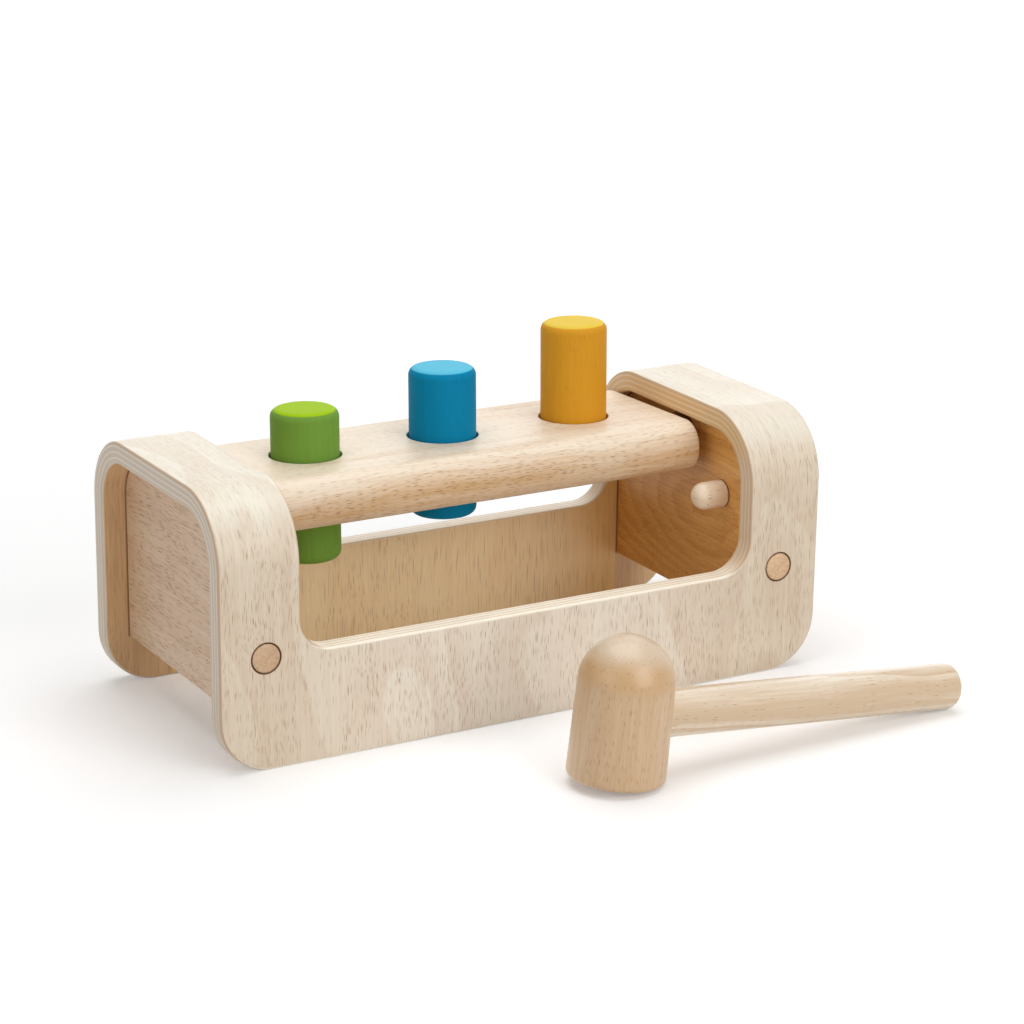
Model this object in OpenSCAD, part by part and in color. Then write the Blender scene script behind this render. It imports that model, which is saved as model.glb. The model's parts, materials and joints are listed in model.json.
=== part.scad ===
// Peg pounding bench with a swing-over peg bar and a wooden hammer.
// Millimetres, +Z up. The origin is on the table, in the middle of bench and hammer.

/* [Bent plywood shell] */
// Length of the bench along X
bench_l = 241; // [200:1:280]
// Depth of the bench from front to back
bench_d = 107; // [100:1:130]
// Height of the bent shell
bench_h = 96; // [92:1:110]
// Thickness of the plywood
ply_t = 8; // [6:0.5:10]
// Outer radius of the two bends
bend_r = 25; // [18:1:32]
// Width of each strap that goes over the top
strap_w = 30; // [24:1:36]
// Height of the front and back rails under the windows
rail_h = 40; // [28:1:46]
// Radius of the windows' lower corners
window_r = 12; // [6:1:16]
// Radius of the walls' lower outer corners
foot_r = 19.5; // [10:0.5:28]

/* [End panels] */
// Thickness of each end panel
panel_t = 16; // [14:1:20]
// Depth of the recess from the shell's end to the panel
panel_recess = 9; // [5:1:14]
// Height of the panel's lower edge above the table
panel_foot = 18; // [8:1:24]

/* [Panel dowels] */
// Diameter of the dowels that pin the shell to the panels
dowel_d = 10.6; // [8:0.2:12]
// Length of a panel dowel
dowel_l = 36; // [24:1:40]
// Width of the dark ring between a dowel and the plywood
dowel_ring = 0.25; // [0.1:0.05:0.5]
// How far a dowel stands out of the plywood
dowel_proud = 0.4; // [0:0.1:1]
// Radius of a dowel's eased rim
dowel_edge_r = 1.2; // [0.4:0.2:2]

/* [Stop pins] */
// Diameter of the pins that the peg bar lands on
pin_d = 10.2; // [9.4:0.1:13]
// Distance of the pins from the axle, front and back
pin_y = 27; // [24:1:34]
// How far a pin stands out of the panel
pin_out = 12.5; // [9:0.5:18]
// How deep a pin sits in the panel
pin_seat = 10; // [6:1:12]
// Radius of a pin's rounded nose
pin_nose_r = 4.6; // [1:0.2:5]

/* [Axle] */
// Diameter of the two axle dowels
axle_d = 10; // [7:0.5:11]
// Drop of the axle's middle below the underside of the straps
axle_drop = 10; // [8:0.5:14]
// How deep an axle dowel sits in the panel
axle_seat = 11; // [7:1:12]
// How far an axle dowel reaches into the peg bar
axle_reach = 16; // [10:1:18]
// Diameter of the spacer rings on the axle dowels
spacer_d = 18; // [14:1:18]

/* [Peg bar] */
// Width of the peg bar from edge to edge
bar_w = 69; // [60:1:76]
// Thickness of the peg bar
bar_t = 19; // [18.5:0.5:22]
// Radius of the peg bar's long edges
bar_edge_r = 9; // [4:0.5:9]
// Distance of the axle from the middle of the peg bar
bar_offset = 14; // [12:0.5:18]
// Lean of the peg bar as it lies on its stop pins, in degrees
bar_lean = 1.5; // [0:0.5:4]
// Room between each end of the peg bar and the strap beside it
bar_end_gap = 0.7; // [0.4:0.1:2]
// Diameter of the three peg holes
hole_d = 26.1; // [25.4:0.1:28.4]
// Radius of the eased rims of the peg holes
hole_edge = 0.4; // [0.2:0.2:1.4]

/* [Pegs] */
// Diameter of a peg
peg_d = 24.6; // [22:0.1:25.4]
// Length of a peg
peg_l = 55; // [46:0.5:58]
// Distance from each end of the bar to the middle of the nearest peg
peg_margin = 34.3; // [34:0.1:45]
// Radius of a peg's rounded rims
peg_edge_r = 3; // [1:0.5:5]
// Height of the green peg above the bar
green_up = 17; // [0:0.5:36]
// Height of the blue peg above the bar
blue_up = 25.5; // [0:0.5:36]
// Height of the yellow peg above the bar
yellow_up = 36; // [0:0.5:36]
// Thickness of the rubber friction rings
ring_t = 3; // [2.6:0.2:3.6]

/* [Hammer] */
// Diameter of the hammer head at its striking face
head_d = 34; // [30:1:40]
// Diameter of the head where its dome begins
head_top_d = 33; // [28:0.5:38]
// Height of the hammer head
head_h = 50; // [44:1:60]
// Radius of the rim round the striking face
head_rim_r = 2; // [1:0.5:4]
// Diameter of the handle
handle_d = 16.5; // [12:0.5:20]
// Reach of the handle from the head's middle line
handle_l = 141.5; // [110:0.5:180]
// Height of the handle above the striking face
handle_z = 21.3; // [16:0.1:26]
// How far the handle goes past the head's middle line
handle_seat = 8; // [4:0.5:11]
// Radius of the handle's rounded end
handle_end_r = 3; // [1:0.5:6]

/* [Layout] */
// Place of the bench along X
bench_x = -8.8; // [-40:0.1:40]
// Place of the bench along Y
bench_y = 40; // [30:1:60]
// Place of the hammer along X
hammer_x = -13.9; // [-60:0.1:60]
// Place of the hammer along Y
hammer_y = -77.2; // [-110:0.1:-60]
// Turn of the hammer on the table, in degrees
hammer_yaw = 1.3; // [-20:0.1:20]

/* [Clearances] */
// Gap round glued pieces
glue_gap = 0.05; // [0.02:0.01:0.1]
// Gap round turning and sliding pieces
run_gap = 0.08; // [0.04:0.01:0.1]
// Gap between the peg bar and the pins and spacers that it meets
seat_gap = 0.25; // [0.1:0.05:0.4]
// Room at the bottom of a blind hole
blind_gap = 0.5; // [0.2:0.1:1]

/* [Hidden] */
$fn = 64;

// Sides of the bench and of a panel
LEFT = -1;
RIGHT = 1;
FRONT = -1;
REAR = 1;
// Places of the pegs along the bar
GREEN = -1;
BLUE = 0;
YELLOW = 1;

// Overshoot of a cut past the face that it opens
cut = 1;
// Radius of the eased rod ends that sit inside another piece
hidden_edge_r = 1;

// Inside of the shell
inner_d = bench_d - 2 * ply_t;
inner_h = bench_h - ply_t;
inner_r = bend_r - ply_t;
window_w = bench_l - 2 * strap_w;

// Panel faces, counted from the middle of the bench
panel_out_x = bench_l / 2 - panel_recess;
panel_in_x = panel_out_x - panel_t;
panel_mid_x = panel_out_x - panel_t / 2;

// Peg bar, axle and pins
bar_l = window_w - 2 * bar_end_gap;
peg_pitch = bar_l / 2 - peg_margin;
axle_z = inner_h - axle_drop;
spacer_l = panel_in_x - bar_l / 2 - glue_gap - seat_gap;
axle_l = axle_seat + panel_in_x - bar_l / 2 + axle_reach;
pin_drop = bar_t / 2 + seat_gap + pin_d / 2 + pin_y * sin(bar_lean);
pin_z = axle_z - pin_drop / cos(bar_lean);
// The panel dowels sit midway between the panel's foot and the stop pins
dowel_z = (panel_foot + pin_z) / 2;

// Friction rings and the grooves that hold them
ring_mid_r = peg_d / 2 + run_gap + ring_t / 2;
groove_r = ring_mid_r + ring_t / 2 + glue_gap;
groove_h = ring_t + 2 * glue_gap;

// The hammer leans until the end of its handle touches the table
rim_x = head_d / 2 - head_rim_r;
end_x = handle_l - handle_end_r;
end_z = handle_z - handle_d / 2 + handle_end_r;
rest_run = norm([end_x - rim_x, end_z - head_rim_r]);
rest_slope = atan2(end_z - head_rim_r, end_x - rim_x);
hammer_lean = rest_slope - asin((handle_end_r - head_rim_r) / rest_run);
hammer_lift = head_rim_r + rim_x * sin(hammer_lean) - head_rim_r * cos(hammer_lean);

plywood = "BurlyWood";
beech = "Wheat";
varnished = "Tan";

// Shared shapes

// Plate outline from low to high with all its corners rounded, centred on X
module rounded_plate(w, low, high, r) {
    translate([-w / 2, low + r]) square([w, high - low - 2 * r]);
    translate([r - w / 2, low]) square([w - 2 * r, high - low]);
    for (side = [-1, 1])
        for (y = [low + r, high - r])
            translate([side * (w / 2 - r), y]) circle(r);
}

// Arch outline with a square foot and rounded shoulders, centred on X
module arch_plate(w, foot, top, r) {
    translate([-w / 2, foot]) square([w, top - r - foot]);
    translate([r - w / 2, foot]) square([w - 2 * r, top - foot]);
    for (side = [-1, 1])
        translate([side * (w / 2 - r), top - r]) circle(r);
}

// Turned rod along +Z from 0, with a rounded rim at each end
module turned_rod(d, l, foot_r, nose_r) {
    rotate_extrude() {
        square([d / 2 - foot_r, foot_r]);
        translate([d / 2 - foot_r, foot_r]) intersection() {
            circle(foot_r);
            translate([0, -foot_r]) square(foot_r);
        }
        translate([0, foot_r]) square([d / 2, l - foot_r - nose_r]);
        translate([0, l - nose_r]) square([d / 2 - nose_r, nose_r]);
        translate([d / 2 - nose_r, l - nose_r]) intersection() {
            circle(nose_r);
            square(nose_r);
        }
    }
}

// Moves from the middle of the bench to its place
module on_bench() {
    translate([bench_x, bench_y, 0]) children();
}

// Stands an outline drawn in YZ along X
module along_x(x0, x1) {
    translate([x0, 0, 0]) rotate([90, 0, 90]) linear_extrude(x1 - x0) children();
}

// Moves from the middle of the peg bar to where it lies on its pins
module on_bar() {
    on_bench() translate([0, 0, axle_z]) rotate([-bar_lean, 0, 0])
        translate([0, bar_offset, 0]) children();
}

// Bench frame

module plywood_shell() {
    color(plywood) on_bench() difference() {
        along_x(-bench_l / 2, bench_l / 2) difference() {
            arch_plate(bench_d, 0, bench_h, bend_r);
            arch_plate(inner_d, -ply_t, inner_h, inner_r);
        }
        window_cut();
        for (side = [LEFT, RIGHT]) {
            foot_cut(side);
            translate([side * panel_mid_x, 0, dowel_z]) rotate([90, 0, 0])
                cylinder(d = dowel_d + 2 * dowel_ring, h = 2 * bench_d, center = true);
        }
    }
}

// The window runs down the front wall, over the top and down the back wall
module window_cut() {
    rotate([90, 0, 0]) linear_extrude(2 * bench_d, center = true)
        rounded_plate(window_w, rail_h, 2 * bench_h, window_r);
}

// Rounds the lower corners of both walls at one end
module foot_cut(side) {
    rotate([90, 0, 0]) linear_extrude(2 * bench_d, center = true)
        translate([side * (bench_l / 2 - foot_r), foot_r]) difference() {
            translate([side > 0 ? 0 : -2 * foot_r, -2 * foot_r]) square(2 * foot_r);
            circle(foot_r);
        }
}

module end_panel(side) {
    color(beech) on_bench() mirror([side < 0 ? 1 : 0, 0, 0]) difference() {
        along_x(panel_in_x, panel_out_x)
            arch_plate(inner_d - 2 * glue_gap, panel_foot, inner_h - glue_gap, inner_r - glue_gap);
        for (wall = [FRONT, REAR]) {
            dowel_seat(wall);
            translate([panel_in_x - cut, wall * pin_y, pin_z]) rotate([0, 90, 0])
                cylinder(d = pin_d + 2 * glue_gap, h = pin_seat + blind_gap + cut);
        }
        translate([panel_in_x - cut, 0, axle_z]) rotate([0, 90, 0])
            cylinder(d = axle_d + 2 * glue_gap, h = axle_seat + blind_gap + cut);
    }
}

// Blind hole for a dowel in the panel's edge
module dowel_seat(wall) {
    depth = dowel_l - dowel_proud - ply_t + blind_gap;
    translate([panel_mid_x, wall * (inner_d / 2 + cut), dowel_z]) rotate([wall * 90, 0, 0])
        cylinder(d = dowel_d + 2 * glue_gap, h = depth + cut);
}

module panel_dowel(side, wall) {
    color(varnished) on_bench()
        translate([side * panel_mid_x, wall * (bench_d / 2 + dowel_proud), dowel_z])
            rotate([wall * 90, 0, 0]) turned_rod(dowel_d, dowel_l, dowel_edge_r, dowel_edge_r);
}

module stop_pin(side, wall) {
    color(beech) on_bench() mirror([side < 0 ? 1 : 0, 0, 0])
        translate([panel_in_x + pin_seat, wall * pin_y, pin_z]) rotate([0, -90, 0])
            turned_rod(pin_d, pin_seat + pin_out, hidden_edge_r, pin_nose_r);
}

module axle_dowel(side) {
    color(varnished) on_bench() mirror([side < 0 ? 1 : 0, 0, 0])
        translate([panel_in_x + axle_seat, 0, axle_z]) rotate([0, -90, 0])
            turned_rod(axle_d, axle_l, hidden_edge_r, hidden_edge_r);
}

module axle_spacer(side) {
    color(varnished) on_bench() mirror([side < 0 ? 1 : 0, 0, 0])
        translate([panel_in_x - glue_gap, 0, axle_z]) rotate([0, -90, 0]) difference() {
            cylinder(d = spacer_d, h = spacer_l);
            translate([0, 0, -cut]) cylinder(d = axle_d + 2 * glue_gap, h = spacer_l + 2 * cut);
        }
}

// Peg bar and pegs

module peg_bar() {
    color(beech) on_bar() difference() {
        along_x(-bar_l / 2, bar_l / 2) rounded_plate(bar_w, -bar_t / 2, bar_t / 2, bar_edge_r);
        for (place = [GREEN, BLUE, YELLOW]) translate([place * peg_pitch, 0, 0]) peg_hole();
        for (side = [LEFT, RIGHT])
            translate([side * bar_l / 2, -bar_offset, 0]) rotate([0, 90, 0])
                cylinder(d = axle_d + 2 * run_gap, h = 2 * (axle_reach + blind_gap), center = true);
    }
}

// Hole with a groove for its ring and an eased rim at both faces
module peg_hole() {
    cylinder(d = hole_d, h = bar_t + 2 * cut, center = true);
    cylinder(r = groove_r, h = groove_h, center = true);
    for (face = [-1, 1]) mirror([0, 0, face < 0 ? 1 : 0])
        translate([0, 0, bar_t / 2 - hole_edge])
            cylinder(r1 = hole_d / 2, r2 = hole_d / 2 + 2 * hole_edge, h = 2 * hole_edge);
}

module friction_ring(place) {
    color("DimGray") on_bar() translate([place * peg_pitch, 0, 0])
        rotate_extrude() translate([ring_mid_r, 0]) circle(d = ring_t);
}

module peg(place, up, paint) {
    color(paint) on_bar() translate([place * peg_pitch, 0, bar_t / 2 + up - peg_l])
        turned_rod(peg_d, peg_l, peg_edge_r, peg_edge_r);
}

// Hammer

module on_hammer() {
    translate([hammer_x, hammer_y, hammer_lift]) rotate([0, 0, hammer_yaw])
        rotate([0, hammer_lean, 0]) children();
}

module hammer_head() {
    shoulder_z = head_h - head_top_d / 2;
    color(varnished) on_hammer() difference() {
        rotate_extrude() {
            square([rim_x, head_rim_r]);
            translate([rim_x, head_rim_r]) intersection() {
                circle(head_rim_r);
                translate([0, -head_rim_r]) square(head_rim_r);
            }
            polygon([
                [0, head_rim_r], [head_d / 2, head_rim_r],
                [head_top_d / 2, shoulder_z], [0, shoulder_z]
            ]);
            translate([0, shoulder_z]) intersection() {
                circle(d = head_top_d);
                square(head_top_d);
            }
        }
        translate([-handle_seat - blind_gap, 0, handle_z]) rotate([0, 90, 0])
            cylinder(d = handle_d + 2 * glue_gap, h = handle_seat + head_d);
    }
}

module hammer_handle() {
    color(beech) on_hammer() translate([-handle_seat, 0, handle_z]) rotate([0, 90, 0])
        turned_rod(handle_d, handle_seat + handle_l, hidden_edge_r, handle_end_r);
}

plywood_shell();
end_panel(LEFT);  // left_end_panel
end_panel(RIGHT);  // right_end_panel
panel_dowel(LEFT, FRONT);  // front_left_dowel
panel_dowel(RIGHT, FRONT);  // front_right_dowel
panel_dowel(LEFT, REAR);  // back_left_dowel
panel_dowel(RIGHT, REAR);  // back_right_dowel
stop_pin(LEFT, FRONT);  // front_left_stop_pin
stop_pin(RIGHT, FRONT);  // front_right_stop_pin
stop_pin(LEFT, REAR);  // rear_left_stop_pin
stop_pin(RIGHT, REAR);  // rear_right_stop_pin
axle_dowel(LEFT);  // left_axle
axle_dowel(RIGHT);  // right_axle
axle_spacer(LEFT);  // left_spacer
axle_spacer(RIGHT);  // right_spacer
peg_bar();
friction_ring(GREEN);  // green_friction_ring
friction_ring(BLUE);  // blue_friction_ring
friction_ring(YELLOW);  // yellow_friction_ring
peg(GREEN, green_up, "YellowGreen");  // green_peg
peg(BLUE, blue_up, "SteelBlue");  // blue_peg
peg(YELLOW, yellow_up, "Goldenrod");  // yellow_peg
hammer_head();
hammer_handle();
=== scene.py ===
"""Looks of a wooden peg pounding bench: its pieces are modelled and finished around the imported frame."""
import json
import math
from typing import NamedTuple

import bmesh
import bpy
from bpy.props import FloatProperty, FloatVectorProperty, PointerProperty
from mathutils import Matrix, Vector


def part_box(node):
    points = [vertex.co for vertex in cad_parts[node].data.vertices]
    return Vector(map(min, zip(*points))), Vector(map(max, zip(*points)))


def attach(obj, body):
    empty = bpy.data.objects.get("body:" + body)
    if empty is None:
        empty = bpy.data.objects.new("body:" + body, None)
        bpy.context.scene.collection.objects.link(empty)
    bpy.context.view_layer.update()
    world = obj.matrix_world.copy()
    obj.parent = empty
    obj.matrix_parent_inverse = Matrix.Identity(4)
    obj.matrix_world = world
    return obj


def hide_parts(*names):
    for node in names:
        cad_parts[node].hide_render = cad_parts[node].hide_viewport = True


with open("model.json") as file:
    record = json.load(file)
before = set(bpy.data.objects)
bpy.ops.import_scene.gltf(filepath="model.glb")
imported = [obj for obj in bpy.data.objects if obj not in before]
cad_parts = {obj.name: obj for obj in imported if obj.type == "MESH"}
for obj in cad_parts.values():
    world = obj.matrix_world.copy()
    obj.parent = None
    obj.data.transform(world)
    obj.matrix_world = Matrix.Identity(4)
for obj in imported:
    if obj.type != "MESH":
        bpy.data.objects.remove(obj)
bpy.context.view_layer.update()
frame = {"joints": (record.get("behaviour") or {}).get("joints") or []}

bl_info = {
    "name": "Peg pounding bench",
    "version": (1, 0, 0),
    "blender": (4, 5, 0),
    "location": "View3D > Sidebar > Pounding bench",
    "description": "Models and finishes the pieces of a wooden peg pounding bench",
    "category": "Object",
}

MM = 0.001
GRAIN = "grain"
PEGS = ("green", "blue", "yellow")
FULL_TURN = 2 * math.pi
QUARTER_TURN = math.pi / 2


# Places that the frame gives

def joint(name):
    """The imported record's joint of that name."""
    return next(j for j in frame["joints"] if j["name"] == name)


def middle(node):
    """Middle of a CAD node's box."""
    low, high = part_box(node)
    return (low + high) / 2


def extent(node):
    """Width, depth and height of a CAD node's box."""
    low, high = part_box(node)
    return high - low


AXLE = Vector(joint("bar_swing")["pos_m"])
PEG_AXIS = Vector(joint("green_peg_slide")["axis"])
BAR_LEAN = math.atan2(PEG_AXIS.y, PEG_AXIS.z)
SHELL = extent("plywood_shell")
BENCH_MIDDLE = Vector((middle("plywood_shell").x, middle("plywood_shell").y, 0))
PANEL = extent("left_end_panel")
DOWEL = extent("front_left_dowel")
PIN = extent("front_left_stop_pin")
AXLE_ROD = extent("left_axle")
SPACER = extent("left_spacer")


# Sizes and colours that a user would change

def size(name, description, default):
    """A length with its name and default, in metres."""
    return FloatProperty(name=name, description=description, default=default, unit="LENGTH",
                         subtype="DISTANCE", precision=4)


def turn(name, description, degrees):
    """An angle with its name and default."""
    return FloatProperty(name=name, description=description, default=math.radians(degrees),
                         unit="ROTATION", subtype="ANGLE")


def linear(channel):
    """One 0 to 255 display channel as a linear value."""
    value = channel / 255
    return value / 12.92 if value <= 0.04045 else ((value + 0.055) / 1.055) ** 2.4


def tint(name, description, red, green, blue):
    """A colour with its name and its default in 0 to 255 display values."""
    default = tuple(linear(channel) for channel in (red, green, blue))
    return FloatVectorProperty(name=name, description=description, default=default, subtype="COLOR",
                               size=3, min=0, max=1)


class BenchSizes(bpy.types.PropertyGroup):
    ply: size("Plywood", "Thickness of the bent plywood", 8 * MM)
    bend: size("Bend", "Outer radius of the plywood's bends", 25 * MM)
    strap: size("Strap", "Width of each strap over the top", 30 * MM)
    rail: size("Rail", "Height of the rails under the windows", 40 * MM)
    window: size("Window corner", "Radius of the windows' lower corners", 12 * MM)
    foot: size("Foot corner", "Radius of the walls' lower outer corners", 19.5 * MM)
    ease: size("Eased edge", "Radius of the plywood's sanded edges", 1.1 * MM)
    dowel_ring: size("Dowel ring", "Gap round a dowel in the plywood", 0.25 * MM)
    dowel_edge: size("Dowel rim", "Radius of a dowel's eased rim", 1.2 * MM)
    pin_nose: size("Pin nose", "Radius of a stop pin's rounded nose", 4.6 * MM)
    panel_shoulder: size("Panel shoulder", "Radius of an end panel's upper corners", 17 * MM)
    panel_ease: size("Panel edge", "Radius of an end panel's sanded edges", 0.7 * MM)
    hidden_ease: size("Hidden rim", "Radius of the rod ends that sit inside a piece", 1 * MM)
    spacer_ease: size("Spacer rim", "Radius of the spacers' eased rims", 0.4 * MM)


class BarSizes(bpy.types.PropertyGroup):
    width: size("Bar width", "Width of the peg bar", 69 * MM)
    thickness: size("Bar thickness", "Thickness of the peg bar", 19 * MM)
    round: size("Bar edge", "Radius of the bar's long edges", 9 * MM)
    offset: size("Axle offset", "Distance of the axle from the bar's middle", 14 * MM)
    end_ease: size("Bar end", "Radius of the sanded edges round the bar's ends", 1.2 * MM)
    hole: size("Peg hole", "Diameter of the peg holes", 26.1 * MM)
    hole_ease: size("Hole rim", "Radius of the eased rims of the holes", 0.4 * MM)
    peg: size("Peg", "Diameter of the pegs", extent("green_peg").x)
    peg_length: size("Peg length", "Length of the pegs", 55 * MM)
    peg_round: size("Peg rim", "Radius of the pegs' rims", 3 * MM)
    ring: size("Friction ring", "Thickness of the rubber rings in the holes", 3 * MM)


class HammerSizes(bpy.types.PropertyGroup):
    x: size("Place along X", "Place of the head's middle line", -13.9 * MM)
    y: size("Place along Y", "Place of the head's middle line", -77.2 * MM)
    yaw: turn("Turn", "Turn of the hammer on the floor", 1.3)
    face: size("Face", "Diameter of the striking face", 34 * MM)
    shoulder: size("Shoulder", "Diameter where the dome begins", 33 * MM)
    height: size("Height", "Height of the head", 50 * MM)
    rim: size("Rim", "Radius of the striking face's rim", 2 * MM)
    handle: size("Handle", "Diameter of the handle", 16.5 * MM)
    reach: size("Reach", "Reach of the handle from the head's middle line", 141.5 * MM)
    level: size("Level", "Height of the handle above the striking face", 21.3 * MM)
    seat: size("Seat", "How far the handle goes past the head's middle line", 8 * MM)
    end: size("Handle end", "Radius of the handle's rounded end", 3 * MM)
    seat_end: size("Seated end", "Radius of the handle end inside the head", 1 * MM)


class Colours(bpy.types.PropertyGroup):
    veneer: tint("Veneer", "Light tone of the straps' outer face", 230, 215, 193)
    veneer_dark: tint("Veneer, dark", "Dark tone of the straps' outer face", 215, 195, 169)
    # Painted light: the rails between the straps are painted paler than the straps, lifting the soft shade
    # that the hammer casts on the front rail.
    rail: tint("Rail", "Light tone of the rails' outer face", 245, 235, 219)
    rail_dark: tint("Rail, dark", "Dark tone of the rails' outer face", 233, 218, 198)
    # Painted light: the outer face over the top is painted paler than the walls, standing in for the stronger
    # light that falls on the top.
    lit_crown: tint("Crown", "Light tone of the outer face over the top", 241, 234, 218)
    lit_crown_dark: tint("Crown, dark", "Dark tone of the outer face over the top", 229, 218, 197)
    lining: tint("Lining", "Light tone of the plywood's inner face", 255, 232, 190)
    lining_dark: tint("Lining, dark", "Dark tone of the plywood's inner face", 246, 213, 165)
    # Painted shade: the lining beside the end panels is painted darker and more orange, for the panels' shade
    # and the warm light they throw back.
    panel_bounce_shade: tint("Warm lining", "Light tone of the inner face beside the panels", 242, 191, 105)
    panel_bounce_shade_dark: tint("Warm lining, dark", "Dark tone of the inner face beside the panels", 226, 170, 88)
    # Painted shade: the lining under and outside the end panels, out to the plywood's ends, is painted darker
    # for the shade there.
    recess: tint("Recess", "Light tone of the inner face outside the panels", 233, 195, 149)
    recess_dark: tint("Recess, dark", "Dark tone of the inner face outside the panels", 207, 167, 121)
    figure: tint("Figure", "Tone of the faint growth lines in the veneer", 206, 172, 142)
    layer_pale: tint("Pale layer", "Plywood layers cut along their grain", 254, 246, 228)
    layer_tan: tint("Tan layer", "Plywood layers cut across their grain", 224, 200, 170)
    layer_end: tint("Layer ends", "End grain on the plywood's outer upright edges", 204, 187, 166)
    # Painted light: the windows' cut edges are painted warmer than the outer edges for the warm light thrown
    # back inside the arch, and deeper orange over the top for their shade.
    layer_window_bounce: tint("Window layers", "End grain on the windows' upright edges", 220, 192, 160)
    layer_top_window_shade: tint("Crown layers", "End grain on the windows' edges over the top", 228, 190, 132)
    layer_rim: tint("Layer rim", "Eased rim of the plywood's upright edges", 190, 156, 122)
    panel: tint("Panel", "Light tone of the end panels", 226, 196, 166)
    panel_dark: tint("Panel, dark", "Dark tone of the end panels", 200, 164, 128)
    # Painted shade: the right end panel's inner face is painted deep orange-brown for the shade it lies in
    # and the warm light thrown back inside the arch.
    painted_panel_shade: tint("Amber panel", "Light tone inside the right end panel", 240, 183, 105)
    painted_panel_shade_dark: tint("Amber panel, dark", "Dark tone inside the right end panel", 214, 149, 69)
    bar: tint("Bar", "Light tone of the peg bar", 240, 223, 200)
    bar_dark: tint("Bar, dark", "Dark tone of the peg bar", 211, 170, 121)
    pin: tint("Pins", "Light tone of the stop pins and axles", 255, 241, 218)
    pin_dark: tint("Pins, dark", "Dark tone of the stop pins and axles", 244, 218, 186)
    hammer: tint("Hammer", "Light tone of the hammer head", 218, 187, 150)
    hammer_dark: tint("Hammer, dark", "Dark tone of the hammer head", 198, 160, 116)
    # The shoulder band is partly end grain that took up more finish and partly painted shade; the top of the
    # dome is a painted highlight.
    hammer_end: tint("Hammer, end grain", "Tone of the end grain on the dome", 204, 164, 116)
    hammer_highlight: tint("Hammer, top", "Tone of the polished top of the dome", 214, 190, 160)
    handle: tint("Handle", "Light tone of the handle", 247, 236, 218)
    handle_dark: tint("Handle, dark", "Dark tone of the handle", 213, 185, 151)
    dowel: tint("Dowel", "Light tone of the panel dowels", 234, 200, 162)
    dowel_dark: tint("Dowel, dark", "Dark tone of the panel dowels", 206, 162, 118)
    # Painted shade: a dark brown painted into the narrow gaps where a dowel, pin or panel meets another
    # piece.
    seam: tint("Seam", "Dark line where a piece sinks into another", 112, 68, 34)
    pore: tint("Pores", "Tone of the wood's open pores", 150, 101, 42)
    # Painted light: each peg's end tone is paler and brighter than its side, standing in for the light on its
    # top, and is painted on both ends.
    green: tint("Green", "Stain on the green peg's side", 119, 160, 66)
    green_end: tint("Green end", "Stain on the green peg's end grain", 162, 200, 4)
    blue: tint("Blue", "Stain on the blue peg's side", 12, 134, 177)
    blue_end: tint("Blue end", "Stain on the blue peg's end grain", 92, 196, 226)
    yellow: tint("Yellow", "Stain on the yellow peg's side", 226, 160, 45)
    yellow_end: tint("Yellow end", "Stain on the yellow peg's end grain", 237, 204, 74)
    rubber: tint("Rubber", "Friction rings", 30, 30, 30)
    floor: tint("Floor", "Plain floor", 245, 245, 245)


class ViewSettings(bpy.types.PropertyGroup):
    target: FloatVectorProperty(name="Target", description="Point that the camera looks at",
                                subtype="TRANSLATION", unit="LENGTH",
                                default=(9.9 * MM, 35.33 * MM, 60 * MM))
    yaw: turn("Yaw", "Turn of the camera about the vertical", -30.08)
    pitch: turn("Pitch", "Height of the camera above the level", 17.45)
    roll: turn("Roll", "Tilt of the picture", 0.74)
    distance: size("Distance", "Distance of the camera from its target", 1.08677)
    lens: FloatProperty(name="Lens", description="Focal length in millimetres", default=104.82)


# Mesh helpers

SAME_SPOT = 1e-6
AT_FACE = 1e-5
FACING = 0.99
STEEP = math.radians(50)
LARGE_FACES_RULE = 100
ROUND_STEPS = 96
SMOOTH_STEPS = 128
RING_STEPS = 64
CORNER_STEPS = 14
RIM_STEPS = 8


def arc(centre, radius, start, end, steps):
    """Points on an arc from start to end, in degrees."""
    points = []
    for step in range(steps + 1):
        angle = math.radians(start + (end - start) * step / steps)
        points.append((centre[0] + radius * math.cos(angle), centre[1] + radius * math.sin(angle)))
    return points


def whole(bm):
    """Everything that a mesh holds."""
    return bm.verts[:] + bm.edges[:] + bm.faces[:]


def outline_face(bm, points):
    """One flat face from outline points in XY."""
    return bm.faces.new([bm.verts.new((x, y, 0)) for x, y in points])


def mirror(bm, axes):
    """Adds a flat sheet's mirror image across each of these axes."""
    for axis in axes:
        bmesh.ops.mirror(bm, geom=whole(bm), merge_dist=SAME_SPOT, axis=axis)
    bmesh.ops.recalc_face_normals(bm, faces=bm.faces[:])


def thicken(bm, depth):
    """Makes a flat sheet at zero a closed board that reaches down to minus depth."""
    sheet = bm.faces[:]
    copy = bmesh.ops.extrude_face_region(bm, geom=sheet, use_keep_orig=True)
    lower = [item for item in copy["geom"] if isinstance(item, bmesh.types.BMVert)]
    bmesh.ops.translate(bm, verts=lower, vec=(0, 0, -depth))
    bmesh.ops.recalc_face_normals(bm, faces=bm.faces[:])


def ease(bm, edges, radius, segments=3):
    """Rounds these edges."""
    bmesh.ops.bevel(bm, geom=edges, affect="EDGES", offset=radius, offset_type="OFFSET",
                    segments=segments, profile=0.5, material=-1, clamp_overlap=True)


def sharp_edges(bm, keep=lambda edge: True):
    """Edges between faces that meet at a steep angle."""
    return [e for e in bm.edges if len(e.link_faces) == 2 and e.calc_face_angle() > STEEP and keep(e)]


def mark_grain(bm, along):
    """Stores each vertex's place in the wood, with the grain along the first axis."""
    layer = bm.verts.layers.float_vector.new(GRAIN)
    for vert in bm.verts:
        vert[layer] = along(vert.co)


def rod_grain(co):
    """Grain along the axis that a piece was turned about."""
    return co.z, co.x, co.y


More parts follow.
